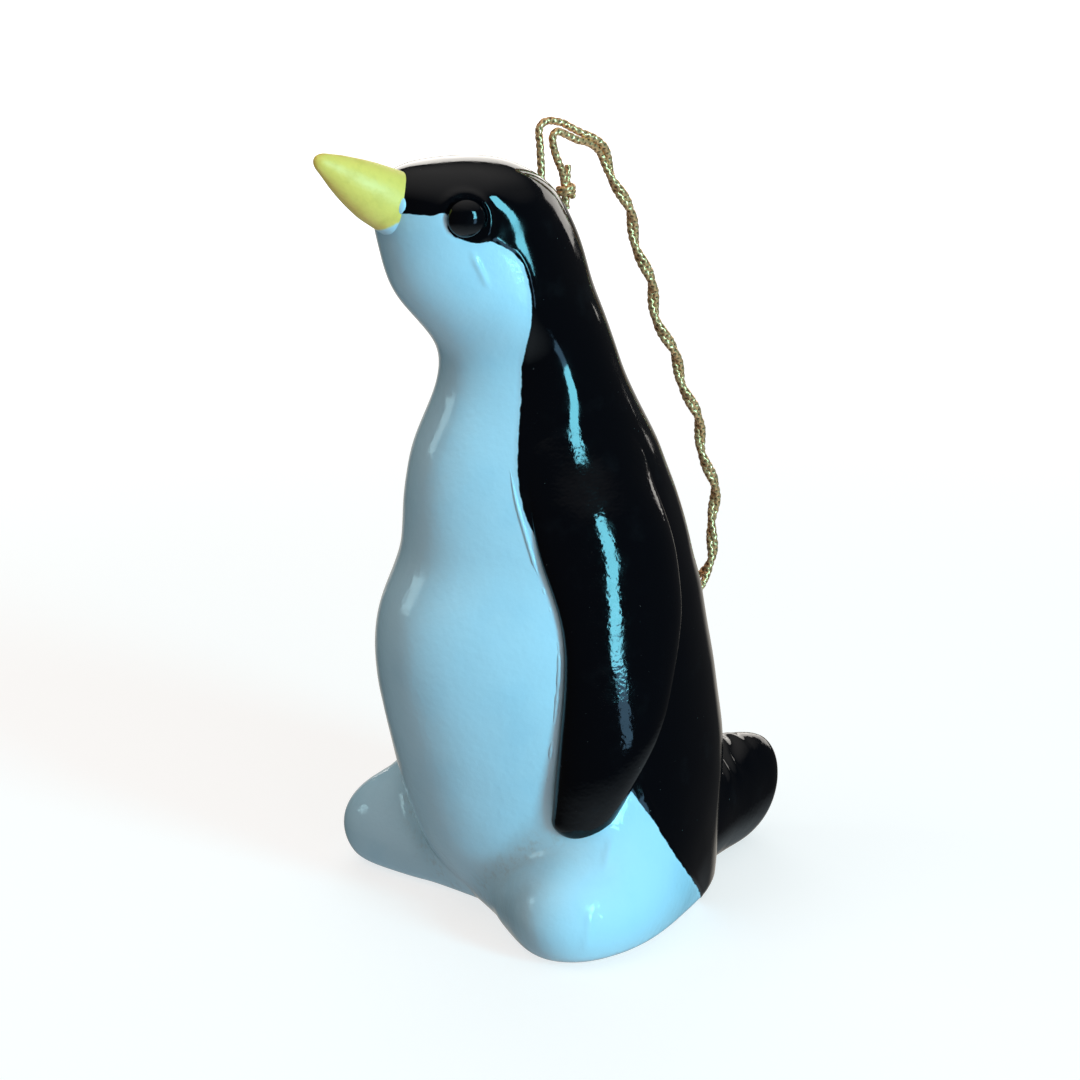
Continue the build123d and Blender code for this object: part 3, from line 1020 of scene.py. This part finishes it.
def cord_path(count):
    """The cord's middle line: the route's smooth curve, with its two falling strands turned about each
    other. A point's x is turned into the plane square to the fall, by an angle that grows evenly from
    the place where the twist starts, counted from the cord's nearer end."""
    fall = [(half_pair, along, height) for along, height in loop_fall]
    fall += [((half_pair + half_bight) / 2, *loop_turn_in), (half_bight, *loop_end)]
    down = [(-across, along, height) for across, along, height in fall]
    route = front_strand + down + fall[::-1] + rear_strand[::-1]
    points = spline_points(np.array(route) + crown_z * UP, count)
    run = run_along(points)
    half_run = run[-1] / 2
    inward = np.minimum(run, run[-1] - run)
    tangent = unit(np.gradient(points, axis=0))
    heading = tangent * np.where(run < half_run, 1, -1)[:, None] * MID_PLANE
    padded = np.pad(heading, ((heading_span // 2, heading_span // 2), (0, 0)), mode="edge")
    smooth = np.ones(heading_span) / heading_span
    heading = unit(np.stack([np.convolve(padded[:, i], smooth, mode="valid") for i in range(3)], -1))
    outside = np.cross(LEFT, heading)
    turns = round(2 * (half_run - twist_start - twist_rest) / twist_pitch) / 2
    twist = 2 * np.pi * np.clip((inward - twist_start) / twist_pitch, 0, turns)[:, None]
    twisted = ease(twist_start - 3, twist_start + 2, inward) * ease(half_run - 3, half_run - 7, inward)
    across = points[:, :1] * (1 - twist_draw * twisted)[:, None]
    turned = across * np.cos(twist) * LEFT + across * np.sin(twist) * outside
    return points * MID_PLANE + turned, outside


def braided_tube(path, guide, diameter, columns):
    """A braid round a path: a tube whose radius swells where one of two crossing sets of threads lies on
    top, the greater of two cosines that wind opposite ways. The guide, never along the path, keeps the
    tube from turning."""
    tangent = unit(np.gradient(path, axis=0))
    up = unit(guide - (guide * tangent).sum(1, keepdims=True) * tangent)
    beside = np.cross(tangent, up)
    turn = full_turn(columns)
    lead = 2 * np.pi * run_along(path)[:, None] / braid_pitch
    braid = np.maximum(np.cos(2 * turn - 2 * lead), 0.8 * np.cos(3 * turn + 2.6 * lead))
    braid = np.clip(braid * 0.5 + 0.5, 0, 1)
    radius = diameter / 2 * (braid_core + braid_swell * braid)
    ring = np.cos(turn)[:, None] * up[:, None] + np.sin(turn)[:, None] * beside[:, None]
    return path[:, None] + radius[..., None] * ring, braid


def cord_pieces(finish):
    """The cord in three pieces of one braid: the loop, which starts at the risers' tops and folds over to
    the back, and the two risers through the crown. The loop's path comes with them."""
    rows, columns = cord_grid
    path, outside = cord_path(rows)
    tube, braid = braided_tube(path, outside, strand_diameter, columns)
    run = run_along(path)
    front_top = int(np.searchsorted(run, riser_length))
    rear_top = int(np.searchsorted(run, run[-1] - riser_length))
    parts = {
        "cord_loop_braid": slice(front_top, rear_top + 1),
        "cord_riser_front": slice(0, front_top + 1),
        "cord_riser_rear": slice(rear_top, None),
    }
    loop, front, rear = (
        mesh_piece(name, tube[part], finish, {"braid": braid[part]})
        for name, part in parts.items()
    )
    return loop, front, rear, path[parts["cord_loop_braid"]]


def knot_piece(finish):
    """The knot: a helix of the cord's end round the rear riser, whose cut end stands up beside it."""
    rows, columns = knot_grid
    share = np.linspace(0, 1, rows)
    wound = np.minimum(share / knot_share, 1)
    stub = np.maximum(share - knot_share, 0) / (1 - knot_share)
    turn = 2 * np.pi * knot_turns * wound + knot_start
    radius = knot_radius + stub_lean * stub
    rise = knot_height * wound + stub_rise * stub
    base_z = crown_z - knot_drop
    path = np.stack([radius * np.cos(turn), knot_y + radius * np.sin(turn), base_z + rise], -1)
    guide = np.stack([np.cos(turn), np.sin(turn), 0 * turn], -1)
    tube, braid = braided_tube(path, guide, knot_strand, columns)
    return mesh_piece("cord_knot_braid", tube, finish, {"braid": braid})


# Build

figure_paint = body_finish()
black_gloss = black_finish()
bill_paint = bill_finish()
gold_thread = cord_finish()

skins = {
    "body": body_piece(figure_paint),
    "beak": beak_piece(bill_paint),
    "eye_left": eye_piece(1, black_gloss),
    "eye_right": eye_piece(-1, black_gloss),
    "flipper_left": flipper_piece(1, black_gloss),
    "flipper_right": flipper_piece(-1, black_gloss),
    "tail": tail_piece(black_gloss),
}
for replaced, piece in skins.items():
    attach(piece, "figure")
    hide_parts(replaced)

for piece in (drop_piece(figure_paint), bead_piece(1, figure_paint), bead_piece(-1, figure_paint)):
    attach(piece, "figure")

cord_loop, riser_front, riser_rear, loop_path = cord_pieces(gold_thread)
knot = knot_piece(gold_thread)
for piece in (riser_front, riser_rear, knot):
    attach(piece, "figure")
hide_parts("cord_anchor")
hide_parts("cord_knot")
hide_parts("cord_loop")
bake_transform(cord_loop)

# Floor, lights and camera, in metres

floor_sides = 64
floor_radius = 4.0
floor_drop = 0.00002
light_target = Vector((0, -0.003, 0.045))
camera_target = Vector((0, -0.0028, 0.0434))
camera_distance = 0.350

floor_mesh = bpy.data.meshes.new("floor")
floor_turn = full_turn(floor_sides)
floor_x = floor_radius * np.cos(floor_turn)
floor_y = floor_radius * np.sin(floor_turn)
floor_ring = np.stack([floor_x, floor_y, np.full(floor_sides, -floor_drop)], -1)
floor_mesh.from_pydata(floor_ring.tolist(), [], [list(range(floor_sides))])
floor = bpy.data.objects.new("floor", floor_mesh)
bpy.context.scene.collection.objects.link(floor)
floor_material, floor_tree, floor_shader, floor_place = start_finish("pale_floor")
floor_shader.inputs["Base Color"].default_value = (0.45, 0.45, 0.45, 1)
floor_shader.inputs["Roughness"].default_value = 0.9
floor_shader.inputs["Specular IOR Level"].default_value = 0.0
floor_shader.inputs["Emission Color"].default_value = (1.0, 0.985, 0.970, 1)
floor_way = node(floor_tree, "VectorMath", {0: floor_place}, operation="LENGTH").outputs["Value"]
floor_glow = mix_value(floor_tree, step_between(floor_tree, floor_way, 0.10, 0.70), 0.66, 0.985)
floor_tree.links.new(floor_glow, floor_shader.inputs["Emission Strength"])
floor_mesh.materials.append(floor_material)
floor.visible_diffuse = False
floor.visible_glossy = False


def aim(azimuth, elevation):
    """The way from the figure to a place round it: azimuth 0 is in front, 90 to its left."""
    a, e = np.radians(azimuth), np.radians(elevation)
    return Vector((np.sin(a) * np.cos(e), -np.cos(a) * np.cos(e), np.sin(e)))


def softbox(name, azimuth, elevation, distance, size, watts, colour, mirrored=True):
    """An area light that looks at the figure's middle. One that isn't mirrored leaves no gleam."""
    light = bpy.data.lights.new(name, "AREA")
    light.shape = "RECTANGLE"
    light.size, light.size_y = size
    light.energy = watts
    light.color = colour
    lamp = bpy.data.objects.new(name, light)
    way = aim(azimuth, elevation)
    lamp.visible_camera = False
    lamp.visible_glossy = mirrored
    lamp.location = light_target + way * distance
    lamp.rotation_euler = way.to_track_quat("Z", "Y").to_euler()
    bpy.context.scene.collection.objects.link(lamp)


softbox("window", 99, 15, 0.60, (0.13, 0.30), 3.3, (0.22, 0.80, 1.0))
softbox("front_fill", 80, 6, 1.00, (0.50, 0.45), 3.4, (1.0, 0.86, 0.86), mirrored=False)
softbox("top_fill", -8, 50, 1.00, (0.60, 0.60), 1.7, (1.0, 0.82, 0.72), mirrored=False)
softbox("back_panel", 222, 14, 2.00, (2.5, 0.75), 14.0, (1.0, 0.96, 0.90))
softbox("low_window", 99, -6, 0.35, (0.061, 0.12), 0.08, (0.32, 0.66, 1.0))
softbox("side_fill", -118, 22, 1.00, (0.60, 0.60), 2.4, (0.86, 0.95, 1.0), mirrored=False)
softbox("far_lamp", -42, 20, 0.60, (0.16, 0.15), 0.30, (0.60, 0.92, 1.0))

world = bpy.data.worlds.new("studio")
world.use_nodes = True
sky = world.node_tree
sky_way = node(sky, "TexCoord").outputs["Generated"]
sky_height = node(sky, "SeparateXYZ", {0: sky_way}).outputs["Z"]
glow = node(sky, "ValToRGB", {"Fac": step_between(sky, sky_height, -1.0, 1.0, smooth=False)})
below, above = glow.color_ramp.elements
below.color = (0.68, 0.80, 0.86, 1)
above.color = (0.60, 0.58, 0.56, 1)
for level in (0.31, 0.72):
    glow.color_ramp.elements.new(level).color = (0.045, 0.045, 0.045, 1)
bounce_way = aim(235, -12)
facing = node(sky, "VectorMath", {0: sky_way, 1: bounce_way}, operation="DOT_PRODUCT").outputs["Value"]
bounce = step_between(sky, facing, 0.88, 0.97)
sky_light = mix_colour(sky, bounce, glow.outputs["Color"], (0.50, 0.47, 0.42, 1))
seen = node(sky, "LightPath").outputs["Is Camera Ray"]
backdrop = mix_colour(sky, seen, sky_light, (0.985, 0.98, 0.97, 1))
sky.links.new(backdrop, sky.nodes["Background"].inputs["Color"])
bpy.context.scene.world = world
bpy.context.scene.view_settings.view_transform = "Standard"

camera_data = bpy.data.cameras.new("camera")
camera_data.sensor_width = 36
camera_data.lens = 99.4
camera_data.clip_start = 0.01
camera = bpy.data.objects.new("camera", camera_data)
camera_way = aim(55, 15.2)
camera.location = camera_target + camera_way * camera_distance
camera.rotation_euler = camera_way.to_track_quat("Z", "Y").to_euler()
bpy.context.scene.collection.objects.link(camera)
bpy.context.scene.camera = camera
